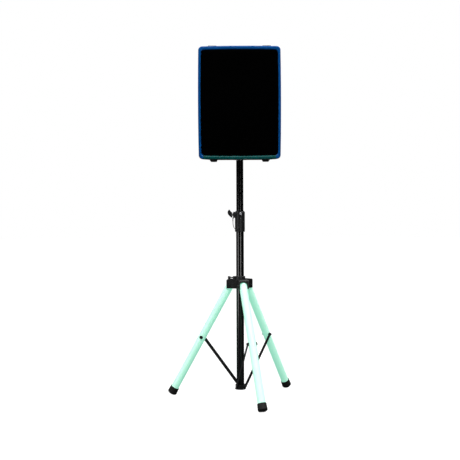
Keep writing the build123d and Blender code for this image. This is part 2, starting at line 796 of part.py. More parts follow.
throat_y = -52
throat_r = 18
mouth_front = baffle_front - 4
with BuildPart() as horn_flare:
    with BuildSketch(facing(baffle_front, horn_z)):
        RectangleRounded(horn_w, horn_h, 12)
    with BuildSketch(facing(throat_y, horn_z)):
        RectangleRounded(2 * throat_r + 8, 2 * throat_r + 8, throat_r)
    loft()
    with BuildSketch(facing(baffle_front, horn_z)):
        RectangleRounded(horn_w + 16, horn_h + 16, 16)
    extrude(amount=4)
    with BuildSketch(facing(throat_y, horn_z)):
        Circle(45)
    extrude(amount=4)
    with BuildSketch(facing(mouth_front, horn_z)):
        RectangleRounded(horn_w - 2 * flare_wall, horn_h - 2 * flare_wall, 10)
    with BuildSketch(facing(throat_y, horn_z)):
        RectangleRounded(2 * throat_r, 2 * throat_r, throat_r - 2)
    loft(mode=Mode.SUBTRACT)
save(horn_flare.part, "horn_flare")

with BuildPart() as compression_driver:
    with BuildSketch(facing(throat_y, horn_z)):
        Circle(45)
    extrude(amount=-8)
    with BuildSketch(facing(throat_y + 8, horn_z)):
        Circle(55)
    extrude(amount=-34)
    with BuildSketch(facing(throat_y + 42, horn_z)):
        Circle(38)
    extrude(amount=-14)
    fillet(compression_driver.faces().sort_by(Axis.Y)[-1].edges(), 5)
save(compression_driver.part, "compression_driver")

with BuildPart() as port_tubes:
    with BuildSketch(facing(baffle_front - 1, port_z)):
        with Locations((port_x, 0), (-port_x, 0)):
            Circle(port_r)
            Circle(port_r - 2.5, mode=Mode.SUBTRACT)
    extrude(amount=-120)
save(port_tubes.part, "port_tubes")

# ---- rear panel and what is on it ---------------------------------------------------
control_z = 1576
control_xs = [-66, -24, 18]
socket_z = 1534
socket_xs = [-66, -24]
jack_r = 9.5
jack_depth = 20
inlet_x = 66
inlet_z = 1302
switch_x = 66
switch_z = 1352
rocker_w = 12
rocker_h = 20
shaft_r = 3
fin_count = 12
fin_pitch = 14
sink_h = 150
sink_z = 1414
sink_x = -20
with BuildPart() as rear_panel:
    with BuildSketch(rear_facing(shell_back, panel_z)):
        RectangleRounded(panel_w, panel_h, 8)
        for x in control_xs:
            with Locations((-x, control_z - panel_z)):
                Circle(shaft_r + 0.4, mode=Mode.SUBTRACT)
        for x in socket_xs:
            with Locations((-x, socket_z - panel_z)):
                Circle(12.2, mode=Mode.SUBTRACT)
        with Locations((-inlet_x, inlet_z - panel_z)):
            Rectangle(28, 21, mode=Mode.SUBTRACT)
        with Locations((-switch_x, switch_z - panel_z)):
            Rectangle(rocker_w + 1, rocker_h + 4, mode=Mode.SUBTRACT)
    extrude(amount=panel_thick)
    chamfer(rear_panel.faces().sort_by(Axis.Y)[-1].outer_wire().edges(), 0.8)
save(rear_panel.part, "rear_panel")

with BuildPart() as heat_sink:
    with BuildSketch(rear_facing(panel_face, sink_z)):
        with Locations((-sink_x, 0)):
            Rectangle((fin_count - 1) * fin_pitch + 3, sink_h)
    extrude(amount=4)
    with BuildSketch(rear_facing(panel_face + 4, sink_z)):
        with Locations((-sink_x, 0)):
            with GridLocations(fin_pitch, 0, fin_count, 1):
                Rectangle(2.6, sink_h)
    extrude(amount=20)
save(heat_sink.part, "heat_sink")

for name, x in zip(("knob_volume", "knob_bass", "knob_treble"), control_xs):
    with BuildPart() as control:
        with BuildSketch(rear_facing(panel_face + 1, control_z)):
            with Locations((-x, 0)):
                Circle(10)
        extrude(amount=15, taper=4)
        fillet(control.faces().sort_by(Axis.Y)[-1].edges(), 1.2)
        with BuildSketch(rear_facing(panel_face + 4, control_z)):
            with Locations((-x, 0)):
                with PolarLocations(11, 10, start_angle=18):
                    Circle(1.6)
        extrude(amount=20, mode=Mode.SUBTRACT)
        with BuildSketch(rear_facing(panel_face + 15, control_z)):
            with Locations((-x, 5.5)):
                Rectangle(1.6, 6)
        extrude(amount=2, mode=Mode.SUBTRACT)
        with BuildSketch(rear_facing(shell_back - 6, control_z)):
            with Locations((-x, 0)):
                Circle(shaft_r)
        extrude(amount=panel_thick + 8)
    save(control.part, name)

with BuildPart() as input_sockets:
    for x in socket_xs:
        with BuildSketch(rear_facing(panel_face, socket_z)):
            with Locations((-x, 0)):
                RectangleRounded(27, 32, 3)
        extrude(amount=2)
        with BuildSketch(rear_facing(panel_face, socket_z)):
            with Locations((-x, 0)):
                Circle(12)
        extrude(amount=-24)
        with BuildSketch(rear_facing(panel_face + 2, socket_z)):
            with Locations((-x, 0)):
                Circle(jack_r)
        extrude(amount=-jack_depth, mode=Mode.SUBTRACT)
save(input_sockets.part, "input_sockets")

with BuildPart() as mains_inlet:
    with BuildSketch(rear_facing(panel_face, inlet_z)):
        with Locations((-inlet_x, 0)):
            RectangleRounded(50, 30, 4)
    extrude(amount=2.5)
    with BuildSketch(rear_facing(panel_face, inlet_z)):
        with Locations((-inlet_x, 0)):
            Rectangle(28, 21)
    extrude(amount=-24)
    with BuildSketch(rear_facing(panel_face + 2.5, inlet_z)):
        with Locations((-inlet_x, 0)):
            RectangleRounded(24.5, 17, 2)
    extrude(amount=-20, mode=Mode.SUBTRACT)
    with BuildSketch(rear_facing(panel_face - 18, inlet_z)):
        with Locations((-inlet_x - 7, -2), (-inlet_x + 7, -2), (-inlet_x, 2)):
            Rectangle(2, 6)
    extrude(amount=15)
save(mains_inlet.part, "mains_inlet")

rocker_rest = 8  # degrees that the rocker leans when it is off
rocker_low = -2
rocker_high = 7
trunnion_r = 0.9
trunnion_span = rocker_w + 2.4
rocker_y = panel_face - 4
rocker_plane = Plane(origin=(switch_x, rocker_y, switch_z), x_dir=(-1, 0, 0), z_dir=(0, 1, 0))
tilted = rocker_plane.rotated((rocker_rest, 0, 0))
with BuildPart() as power_switch:
    with BuildSketch(tilted.offset(rocker_low)):
        Rectangle(rocker_w, rocker_h)
    extrude(amount=rocker_high - rocker_low)
    fillet(power_switch.edges().filter_by(Axis.X), 1.2)
    with BuildSketch(Plane.YZ.offset(switch_x)):
        with Locations((rocker_y, switch_z)):
            Circle(trunnion_r)
    extrude(amount=trunnion_span / 2, both=True)
save(power_switch.part, "power_switch")

with BuildPart() as amp_board:
    with BuildSketch(rear_facing(shell_back - 26, panel_z)):
        Rectangle(190, 290)
    extrude(amount=-2)
    with BuildSketch(rear_facing(shell_back - 28, panel_z)):
        with Locations((-50, -60)):
            Circle(42)
    extrude(amount=-36)
    with BuildSketch(rear_facing(shell_back - 28, panel_z)):
        with Locations((40, 30), (40, 70), (66, 30), (66, 70)):
            Circle(11)
    extrude(amount=-32)
    with BuildSketch(rear_facing(shell_back - 26, panel_z)):
        with GridLocations(170, 270, 2, 2):
            Circle(4)
    extrude(amount=26)
save(amp_board.part, "amp_board")

with BuildPart() as panel_screws:
    with BuildSketch(rear_facing(panel_face, panel_z)):
        with GridLocations(panel_w - 14, panel_h - 14, 2, 2):
            Circle(4)
        with GridLocations(panel_w - 14, 110, 2, 2):
            Circle(4)
        with Locations((0, panel_h / 2 - 7), (0, 7 - panel_h / 2)):
            Circle(4)
    extrude(amount=2.2, taper=20)
save(panel_screws.part, "panel_screws")

# ---- handles, feet, pads and the pole socket ---------------------------------------------------
cup_wall = 3
with BuildPart() as side_handles:
    for side in (1, -1):
        with BuildSketch(Plane.YZ.offset(side * handle_face)):
            with Locations((handle_y, handle_z)):
                RectangleRounded(handle_w, handle_h, 14)
        extrude(amount=-side * handle_depth)
        with BuildSketch(Plane.YZ.offset(side * handle_face)):
            with Locations((handle_y, handle_z)):
                RectangleRounded(handle_w - 2 * cup_wall, handle_h - 2 * cup_wall, 11)
        extrude(amount=-side * (handle_depth - cup_wall), mode=Mode.SUBTRACT)
        with BuildSketch(Plane.XZ.offset(-handle_y - handle_w / 2 + 3)):
            with Locations((side * (handle_face - 9), handle_z + handle_h / 2 - 16)):
                RectangleRounded(16, 20, 6)
        extrude(amount=handle_w - 6)
save(side_handles.part, "side_handles")

foot_bottom_z = 1173.5
with BuildPart() as cabinet_feet:
    with BuildSketch(Plane.XY.offset(foot_seat_z)):
        with Locations(foot_places):
            Circle(foot_seat_r)
    extrude(amount=-4)
    with BuildSketch(Plane.XY.offset(foot_seat_z - 4)):
        with Locations(foot_places):
            Circle(18)
    extrude(amount=foot_bottom_z - foot_seat_z + 4, taper=28)
save(cabinet_feet.part, "cabinet_feet")

pad_top = 1724.5
with BuildPart() as top_pads:
    with BuildSketch(Plane.XY.offset(pad_seat_z)):
        with Locations(pad_places):
            RectangleRounded(pad_w, pad_d, 6)
    extrude(amount=pad_top - pad_seat_z)
    fillet(top_pads.faces().group_by(Axis.Z)[-1].edges(), 2)
save(top_pads.part, "top_pads")

cabinet_bottom = cabinet_mid_z - cabinet_h / 2
socket_flange_r = 34
with BuildPart() as pole_socket:
    with BuildSketch(Plane.XY.offset(cabinet_bottom)):
        Circle(socket_flange_r)
    extrude(amount=shell_inset)
    with BuildSketch(Plane.XY.offset(cabinet_bottom)):
        Circle(socket_r)
    extrude(amount=pole_top + 4 - cabinet_bottom)
    with BuildSketch(Plane.XY.offset(cabinet_bottom)):
        Circle(pole_r + running_gap)
    extrude(amount=pole_top - cabinet_bottom, mode=Mode.SUBTRACT)
save(pole_socket.part, "pole_socket")
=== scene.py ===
import json
import math

import bpy
from mathutils import Euler, Matrix, Vector


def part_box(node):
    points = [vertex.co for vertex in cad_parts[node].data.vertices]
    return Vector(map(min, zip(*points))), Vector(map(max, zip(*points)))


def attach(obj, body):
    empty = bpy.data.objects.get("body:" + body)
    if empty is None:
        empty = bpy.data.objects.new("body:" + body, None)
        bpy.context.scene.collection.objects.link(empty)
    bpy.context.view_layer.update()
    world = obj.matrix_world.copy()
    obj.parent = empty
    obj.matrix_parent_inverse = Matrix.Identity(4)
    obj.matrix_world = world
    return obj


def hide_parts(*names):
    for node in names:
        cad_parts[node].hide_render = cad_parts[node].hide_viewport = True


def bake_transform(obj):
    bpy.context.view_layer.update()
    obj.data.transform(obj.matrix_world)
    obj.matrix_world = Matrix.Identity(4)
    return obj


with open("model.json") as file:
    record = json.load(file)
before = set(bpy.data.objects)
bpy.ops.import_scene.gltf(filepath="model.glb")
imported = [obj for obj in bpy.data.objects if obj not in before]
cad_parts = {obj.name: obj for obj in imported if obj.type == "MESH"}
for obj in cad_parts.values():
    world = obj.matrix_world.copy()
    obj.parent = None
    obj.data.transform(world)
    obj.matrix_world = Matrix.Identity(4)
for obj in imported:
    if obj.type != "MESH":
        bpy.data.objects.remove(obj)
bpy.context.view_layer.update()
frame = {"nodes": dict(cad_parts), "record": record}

bl_info = {
    "name": "PA speaker on a light-up stand",
    "version": (1, 0, 0),
    "blender": (4, 5, 0),
    "location": "View3D > Sidebar > Speaker",
    "description": "Finishes and fine pieces of a loudspeaker on its folding tripod stand",
    "category": "Add Mesh",
}

BODY_OF = {
    node: body
    for body, nodes in frame["record"]["behaviour"]["bodies"].items()
    for node in nodes
}
SLOT_OF = {
    part["node"]: part["material_slot"] for part in frame["record"]["subparts"]
}
LEGS = (1, 2, 3)


# ---- sizes and colours a user may change ---------------------------------------------


class StandLooks(bpy.types.PropertyGroup):
    tube_colour: bpy.props.FloatVectorProperty(
        name="Tube colour",
        description="Powder coat on the two pole tubes",
        subtype="COLOR",
        default=(0.002, 0.002, 0.0022),
    )
    leg_colour: bpy.props.FloatVectorProperty(
        name="Leg colour",
        description="Frosted diffuser tubes of the legs",
        subtype="COLOR",
        default=(0.80, 0.97, 0.90),
    )
    glow_colour: bpy.props.FloatVectorProperty(
        name="Glow colour",
        description="Light that the leg tubes give off",
        subtype="COLOR",
        default=(0.32, 1.0, 0.69),
    )
    glow: bpy.props.FloatProperty(
        name="Glow",
        description="Strength of the legs' light",
        default=0.52,
        min=0,
    )


class CabinetLooks(bpy.types.PropertyGroup):
    bead_colour: bpy.props.FloatVectorProperty(
        name="Bead colour",
        description="Gloss bead round the top and sides of the front",
        subtype="COLOR",
        default=(0.002, 0.067, 0.255),
    )
    # The lower bead's teal is painted reflection: the mint light of the glowing legs on the
    # blue bead, painted into its colour.
    lower_glow_reflection_colour: bpy.props.FloatVectorProperty(
        name="Lower bead colour",
        description="Gloss bead along the bottom of the front",
        subtype="COLOR",
        default=(0.002, 0.072, 0.070),
    )
    hole_pitch: bpy.props.FloatProperty(
        name="Hole pitch",
        description="Distance between the grille's holes",
        subtype="DISTANCE",
        default=0.006,
    )
    hole_share: bpy.props.FloatProperty(
        name="Hole share",
        description="Width of a hole as a share of the pitch",
        default=0.72,
        min=0.2,
        max=0.9,
    )
    grille_edge: bpy.props.FloatProperty(
        name="Grille edge",
        description="Plain band round the holes",
        subtype="DISTANCE",
        default=0.009,
    )


class StageLooks(bpy.types.PropertyGroup):
    camera_distance: bpy.props.FloatProperty(
        name="Camera distance",
        description="From the camera to the pole",
        subtype="DISTANCE",
        default=5.2,
    )
    camera_height: bpy.props.FloatProperty(
        name="Camera height",
        description="Of the camera above the floor",
        subtype="DISTANCE",
        default=1.097,
    )
    lens: bpy.props.FloatProperty(
        name="Lens",
        description="Focal length in millimetres on a 36 mm sensor",
        default=82.41,
    )
    pitch: bpy.props.FloatProperty(
        name="Pitch",
        description="How far the camera looks down",
        subtype="ANGLE",
        default=math.radians(2.874),
    )
    yaw: bpy.props.FloatProperty(
        name="Yaw",
        description="How far the camera looks to the left of the pole",
        subtype="ANGLE",
        default=math.radians(0.5414),
    )
    roll: bpy.props.FloatProperty(
        name="Roll",
        description="Tilt of the camera about its own line of sight",
        subtype="ANGLE",
        default=math.radians(-0.22),
    )
    fill: bpy.props.FloatProperty(
        name="Fill light",
        description="Strength of the even light from all round",
        default=0.012,
    )


# ---- finishes ------------------------------------------------------------------------


def scaled(colour, factor):
    return tuple(min(1.0, channel * factor) for channel in colour[:3]) + (1.0,)


def new_finish(name, colour, rough, metallic=0.0, coat=0.0, grain=700.0, bump=0.05,
               mottle=0.12, spread=0.06, patch=9.0, sheen=0.0, specular=0.5):
    """A finish with a fine grain, a slow change of shade and an uneven gloss."""
    material = bpy.data.materials.new(name)
    material.use_nodes = True
    nodes = material.node_tree.nodes
    links = material.node_tree.links
    shader = nodes["Principled BSDF"]
    place = nodes.new("ShaderNodeTexCoord")
    patches = nodes.new("ShaderNodeTexNoise")
    patches.inputs["Scale"].default_value = patch
    patches.inputs["Detail"].default_value = 4.0
    shade = nodes.new("ShaderNodeValToRGB")
    shade.color_ramp.elements[0].position = 0.3
    shade.color_ramp.elements[0].color = scaled(colour, 1.0 - mottle)
    shade.color_ramp.elements[1].position = 0.7
    shade.color_ramp.elements[1].color = scaled(colour, 1.0 + mottle)
    fine = nodes.new("ShaderNodeTexNoise")
    fine.inputs["Scale"].default_value = grain
    fine.inputs["Detail"].default_value = 3.0
    gloss = nodes.new("ShaderNodeMapRange")
    gloss.inputs["To Min"].default_value = max(0.02, rough - spread)
    gloss.inputs["To Max"].default_value = min(1.0, rough + spread)
    relief = nodes.new("ShaderNodeBump")
    relief.inputs["Strength"].default_value = bump
    relief.inputs["Distance"].default_value = 0.0005
    links.new(place.outputs["Object"], patches.inputs["Vector"])
    links.new(place.outputs["Object"], fine.inputs["Vector"])
    links.new(patches.outputs["Fac"], shade.inputs["Fac"])
    links.new(patches.outputs["Fac"], gloss.inputs["Value"])
    links.new(shade.outputs["Color"], shader.inputs["Base Color"])
    links.new(gloss.outputs["Result"], shader.inputs["Roughness"])
    links.new(fine.outputs["Fac"], relief.inputs["Height"])
    links.new(relief.outputs["Normal"], shader.inputs["Normal"])
    shader.inputs["Metallic"].default_value = metallic
    shader.inputs["Coat Weight"].default_value = coat
    shader.inputs["Coat Roughness"].default_value = 0.08
    shader.inputs["Sheen Weight"].default_value = sheen
    shader.inputs["Specular IOR Level"].default_value = specular
    return material


def gloss_black_tube():
    colour = bpy.context.scene.stand_looks.tube_colour
    return new_finish("gloss_black_tube", colour, 0.2, coat=0.25, grain=420, bump=0.008,
                      spread=0.04)


def moulded_nylon():
    return new_finish("moulded_nylon", (0.012, 0.012, 0.013), 0.42, grain=1500, bump=0.16,
                      mottle=0.2, specular=0.4)


def coated_steel():
    return new_finish("coated_steel", (0.009, 0.009, 0.010), 0.32, coat=0.1, grain=600,
                      bump=0.1)


def zinc_plate():
    return new_finish("zinc_plate", (0.42, 0.43, 0.46), 0.3, metallic=1.0, grain=260,
                      bump=0.08, mottle=0.2, patch=40)


def moulded_rubber():
    return new_finish("moulded_rubber", (0.010, 0.010, 0.010), 0.62, grain=1200, bump=0.25,
                      mottle=0.25, sheen=0.05, specular=0.3)


def textured_cabinet():
    return new_finish("textured_cabinet", (0.010, 0.010, 0.011), 0.5, grain=520, bump=0.5,
                      mottle=0.15, specular=0.4)


def perforated_steel():
    return new_finish("perforated_steel", (0.0004, 0.0004, 0.00045), 0.6, grain=900,
                      bump=0.1, specular=0.01)


def open_foam():
    return new_finish("open_foam", (0.0003, 0.0003, 0.0003), 0.95, grain=1400, bump=0.8,
                      specular=0.0)


def pressed_paper():
    return new_finish("pressed_paper", (0.012, 0.012, 0.012), 0.8, grain=900, bump=0.5,
                      mottle=0.3)


def anodised_panel():
    return new_finish("anodised_panel", (0.02, 0.02, 0.022), 0.38, metallic=0.6,
                      grain=1500, bump=0.12)


def circuit_board():
    return new_finish("circuit_board", (0.01, 0.10, 0.04), 0.35, grain=160, bump=0.2,
                      mottle=0.4, patch=60)


def red_rocker():
    return new_finish("red_rocker", (0.30, 0.008, 0.008), 0.22, coat=0.4, grain=900,
                      bump=0.04)


def white_mark():
    return new_finish("white_mark", (0.6, 0.6, 0.6), 0.5, grain=900, bump=0.05)


def gloss_bead(name, colour):
    return new_finish(name, colour, 0.24, coat=0.06, grain=350, bump=0.01, mottle=0.1,
                      spread=0.05, patch=14, specular=0.16)


def lit_diffuser():
    """Frosted tube, lit from the strip inside it."""
    looks = bpy.context.scene.stand_looks
    material = new_finish("lit_diffuser", looks.leg_colour, 0.34, coat=0.15, grain=600,
                          bump=0.06, mottle=0.03, spread=0.03)
    nodes = material.node_tree.nodes
    shader = nodes["Principled BSDF"]
    shader.inputs["Emission Color"].default_value = scaled(looks.glow_colour, 1.0)
    shader.inputs["Emission Strength"].default_value = looks.glow
    return material


def led_strip():
    material = new_finish("led_strip", (0.8, 0.9, 0.85), 0.4, grain=300)
    shader = material.node_tree.nodes["Principled BSDF"]
    shader.inputs["Emission Color"].default_value = (0.5, 1.0, 0.8, 1.0)
    shader.inputs["Emission Strength"].default_value = 2.0
    return material


def braided_cord():
    """Diagonal strands, banded over the cord in its object space."""
    material = new_finish("braided_cord", (0.012, 0.013, 0.014), 0.6, grain=2500, bump=0.4,
                          sheen=0.3)
    nodes = material.node_tree.nodes
    links = material.node_tree.links
    wave = nodes.new("ShaderNodeTexWave")
    wave.bands_direction = "DIAGONAL"
    wave.inputs["Scale"].default_value = 260.0
    place = nodes["Texture Coordinate"]
    links.new(place.outputs["Object"], wave.inputs["Vector"])
    links.new(wave.outputs["Fac"], nodes["Bump"].inputs["Height"])
    return material


FINISHES = {}


def make_finishes():
    """The finish of each of the record's material slots."""
    looks = bpy.context.scene.cabinet_looks
    nylon = moulded_nylon()
    FINISHES.update({
        "black_tube": gloss_black_tube(),
        "black_nylon": nylon,
        "black_steel": coated_steel(),
        "zinc_steel": zinc_plate(),
        "lanyard_cord": braided_cord(),
        "light_tube": lit_diffuser(),
        "led_strip": led_strip(),
        "soft_rubber": moulded_rubber(),
        "cabinet_plastic": textured_cabinet(),
        "blue_gloss": gloss_bead("blue_gloss_bead", looks.bead_colour),
        # The teal finish is painted reflection of the legs' mint glow on the lower bead.
        "teal_gloss": gloss_bead("teal_painted_glow_bead", looks.lower_glow_reflection_colour),
        "grille_steel": perforated_steel(),
        "cone_paper": pressed_paper(),
        "panel_aluminium": anodised_panel(),
        "circuit_board": circuit_board(),
        "switch_plastic": red_rocker(),
        "foam": open_foam(),
        "mark": white_mark(),
    })


# ---- modelling helpers ---------------------------------------------------------------


def select_none():
    bpy.ops.object.select_all(action="DESELECT")


def make_active(piece):
    select_none()
    piece.select_set(True)
    bpy.context.view_layer.objects.active = piece


def set_finish(piece, finish):
    piece.data.materials.clear()
    piece.data.materials.append(finish)


def keep_place(piece):
    """Moves the object's place, turn and scale into its mesh."""
    make_active(piece)
    bpy.ops.object.transform_apply(location=True, rotation=True, scale=True)


def smooth(piece, degrees_=35.0):
    make_active(piece)
    bpy.ops.object.shade_smooth_by_angle(angle=math.radians(degrees_))


def welded_copy(node, name):
    """A copy of a CAD node's mesh with its loose triangles merged."""
    mesh = frame["nodes"][node].data.copy()
    piece = bpy.data.objects.new(name, mesh)
    bpy.context.scene.collection.objects.link(piece)
    make_active(piece)
    bpy.ops.object.mode_set(mode="EDIT")
    bpy.ops.mesh.select_all(action="SELECT")
    bpy.ops.mesh.customdata_custom_splitnormals_clear()
    bpy.ops.mesh.remove_doubles(threshold=1e-5)
    bpy.ops.object.mode_set(mode="OBJECT")
    return piece


def skin(node, degrees_=30.0):
    """Stands a smooth-shaded copy in for a CAD node, with the node's own finish."""
    piece = welded_copy(node, node + "_skin")
    smooth(piece, degrees_)
    set_finish(piece, FINISHES[SLOT_OF[node]])
    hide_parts(node)
    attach(piece, BODY_OF[node])
    return piece


def finish_as_is(node):
    """Leaves a CAD node's mesh alone and gives it its finish."""
    set_finish(frame["nodes"][node], FINISHES[SLOT_OF[node]])


def modifier(piece, kind, **settings):
    """Adds a modifier and applies it."""
    make_active(piece)
    added = piece.modifiers.new(kind.title(), kind)
    for key, value in settings.items():
        setattr(added, key, value)
    bpy.ops.object.modifier_apply(modifier=added.name)


def seat(piece, body, finish):
    """Gives a finished piece its finish and the body it rides on."""
    set_finish(piece, FINISHES[finish])
    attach(piece, body)


# ---- the stage: camera, lights, floor ------------------------------------------------


# Each light's name, its turn about the pole in degrees, its distance and height in
# metres, its width and height in metres, and its power in watts.
LIGHTS = (
    ("left_box", -56, 2.9, 0.38, (1.3, 0.75), 11.0),
    ("right_box", 21, 2.9, 0.38, (0.7, 0.75), 9.0),
    ("front_high", 10, 2.6, 4.2, (2.6, 2.0), 62),
    ("left_side", -70, 2.4, 4.2, (2.0, 2.0), 46),
    ("right_side", 75, 2.4, 4.2, (2.0, 2.0), 80),
    ("left_high", -120, 2.4, 3.4, (1.6, 1.6), 26),
    ("right_high", 120, 2.4, 3.4, (1.6, 1.6), 26),
    ("back_high", 180, 2.6, 3.6, (2.4, 1.4), 44),
    ("overhead", -20, 1.2, 3.5, (2.4, 2.4), 40),
)


class SPEAKER_OT_stage(bpy.types.Operator):
    """Camera, studio lights, pale floor and background"""

    bl_idname = "speaker.stage"
    bl_label = "Stage"

    def execute(self, context):
        looks = context.scene.stage_looks
        context.scene.view_settings.view_transform = "Standard"
        self.camera(context, looks)
        self.world(context, looks)
        self.floor()
        for light in LIGHTS:
            self.softbox(*light)
        return {"FINISHED"}

    def camera(self, context, looks):
        data = bpy.data.cameras.new("camera")
        data.lens = looks.lens
        data.sensor_width = 36.0
        data.clip_start = 0.1
        data.clip_end = 100.0
        camera = bpy.data.objects.new("camera", data)
        context.scene.collection.objects.link(camera)
        camera.location = (0.0, -looks.camera_distance, looks.camera_height)
        aim = Euler((math.pi / 2 - looks.pitch, 0.0, looks.yaw)).to_matrix()
        spin = Matrix.Rotation(looks.roll, 3, "Z")
        camera.rotation_euler = (aim @ spin).to_euler()
        context.scene.camera = camera

    def world(self, context, looks):
        """White behind the object, and an even grey fill light all round it."""
        world = bpy.data.worlds.new("studio")
        world.use_nodes = True
        context.scene.world = world
        nodes = world.node_tree.nodes
        links = world.node_tree.links
        seen = nodes["Background"]
        seen.inputs["Color"].default_value = (1.0, 1.0, 1.0, 1.0)
        seen.inputs["Strength"].default_value = 1.0
        fill = nodes.new("ShaderNodeBackground")
        fill.inputs["Color"].default_value = (0.93, 0.97, 1.0, 1.0)
        fill.inputs["Strength"].default_value = looks.fill
        path = nodes.new("ShaderNodeLightPath")
        mix = nodes.new("ShaderNodeMixShader")
        links.new(path.outputs["Is Camera Ray"], mix.inputs["Fac"])
        links.new(fill.outputs["Background"], mix.inputs[1])
        links.new(seen.outputs["Background"], mix.inputs[2])
        links.new(mix.outputs["Shader"], nodes["World Output"].inputs["Surface"])

    def floor(self):
        """Pale floor that fades into the background and casts no light upwards."""
        select_none()
        bpy.ops.mesh.primitive_circle_add(vertices=96, radius=14, fill_type="NGON")
        floor = bpy.context.object
        floor.name = "floor"
        keep_place(floor)
        paint = new_finish("pale_floor", (0.25, 0.25, 0.25), 0.9, grain=60, bump=0.01,
                           mottle=0.01, specular=0.0)
        nodes = paint.node_tree.nodes
        links = paint.node_tree.links
        shader = nodes["Principled BSDF"]
        shader.inputs["Emission Color"].default_value = (1.0, 1.0, 1.0, 1.0)
        spread = nodes.new("ShaderNodeMapping")
        spread.inputs["Scale"].default_value = (0.3, 0.3, 0.3)
        fade = nodes.new("ShaderNodeTexGradient")
        fade.gradient_type = "SPHERICAL"
        level = nodes.new("ShaderNodeMapRange")
        level.inputs["To Min"].default_value = 1.02
        level.inputs["To Max"].default_value = 0.93
        dull = nodes.new("ShaderNodeBsdfDiffuse")
        dull.inputs["Color"].default_value = (0.05, 0.05, 0.05, 1.0)
        path = nodes.new("ShaderNodeLightPath")
        mix = nodes.new("ShaderNodeMixShader")
        links.new(nodes["Texture Coordinate"].outputs["Object"], spread.inputs["Vector"])
        links.new(spread.outputs["Vector"], fade.inputs["Vector"])
        links.new(fade.outputs["Fac"], level.inputs["Value"])
        links.new(level.outputs["Result"], shader.inputs["Emission Strength"])
        links.new(path.outputs["Is Camera Ray"], mix.inputs["Fac"])
        links.new(dull.outputs["BSDF"], mix.inputs[1])
        links.new(shader.outputs["BSDF"], mix.inputs[2])
        links.new(mix.outputs["Shader"], nodes["Material Output"].inputs["Surface"])
        set_finish(floor, paint)

    def softbox(self, name, azimuth, distance, height, size, power):
        data = bpy.data.lights.new(name, "AREA")
        data.shape = "RECTANGLE"
        data.size, data.size_y = size
        data.energy = power
        light = bpy.data.objects.new(name, data)
        bpy.context.scene.collection.objects.link(light)
        turn = math.radians(azimuth)
        light.location = (distance * math.sin(turn), -distance * math.cos(turn), height)
        aim = Vector((0.0, 0.0, min(height, 1.1))) - light.location
        light.rotation_euler = aim.to_track_quat("-Z", "Y").to_euler()
        light.visible_camera = False


# ---- the lanyard ---------------------------------------------------------------------

LANYARD_ROUTE = [
    (-0.0345, 0.0, 0.893),
    (-0.0345, 0.0, 0.877),
    (-0.0336, -0.0075, 0.859),
    (-0.028, -0.0175, 0.845),
    (-0.017, -0.0255, 0.8395),
    (-0.0065, -0.031, 0.847),
    (-0.0005, -0.0355, 0.862),
    (0.0026, -0.0395, 0.879),
    (0.0037, -0.042, 0.895),
    (0.0037, -0.042, 0.9104),
]


# Lengths of the crimps, and their radius.
CLAMP_CRIMP = 0.0135
PIN_CRIMP = 0.009
CRIMP_RADIUS = 0.0024


def cord_line(points):
    """The smooth line through a cord's route, as points close together."""
    data = bpy.data.curves.new("line", "CURVE")
    data.dimensions = "3D"
    data.resolution_u = 16
    spline = data.splines.new("NURBS")
    spline.points.add(len(points) - 1)
    for at, point in zip(spline.points, points):
        at.co = (*point, 1.0)
    spline.order_u = 3
    spline.use_endpoint_u = True
    line = bpy.data.objects.new("line", data)
    bpy.context.scene.collection.objects.link(line)
    mesh = bpy.data.meshes.new_from_object(line)
    found = [vertex.co.copy() for vertex in mesh.vertices]
    bpy.data.objects.remove(line)
    bpy.data.meshes.remove(mesh)
    return found


def tube_along(name, line, radius, sides=14):
    """A mesh tube along a line of points, closed at both ends."""
    vertices = []
    faces = []
    forward = (line[1] - line[0]).normalized()
    across = forward.orthogonal().normalized()
    for index, point in enumerate(line):
        before = line[max(0, index - 1)]
        after = line[min(len(line) - 1, index + 1)]
        ahead = (after - before).normalized()
        across = (across - ahead * across.dot(ahead)).normalized()
        other = ahead.cross(across)
        for side in range(sides):
            turn = 2 * math.pi * side / sides
            offset = across * math.cos(turn) + other * math.sin(turn)
            vertices.append(point + offset * radius)
    for ring in range(len(line) - 1):
        for side in range(sides):
            here = ring * sides + side
            beside = ring * sides + (side + 1) % sides
            faces.append((here, beside, beside + sides, here + sides))
    faces.append(tuple(reversed(range(sides))))
    last = (len(line) - 1) * sides
    faces.append(tuple(range(last, last + sides)))
    mesh = bpy.data.meshes.new(name)
    mesh.from_pydata([tuple(vertex) for vertex in vertices], [], faces)
    piece = bpy.data.objects.new(name, mesh)
    bpy.context.scene.collection.objects.link(piece)
    return piece


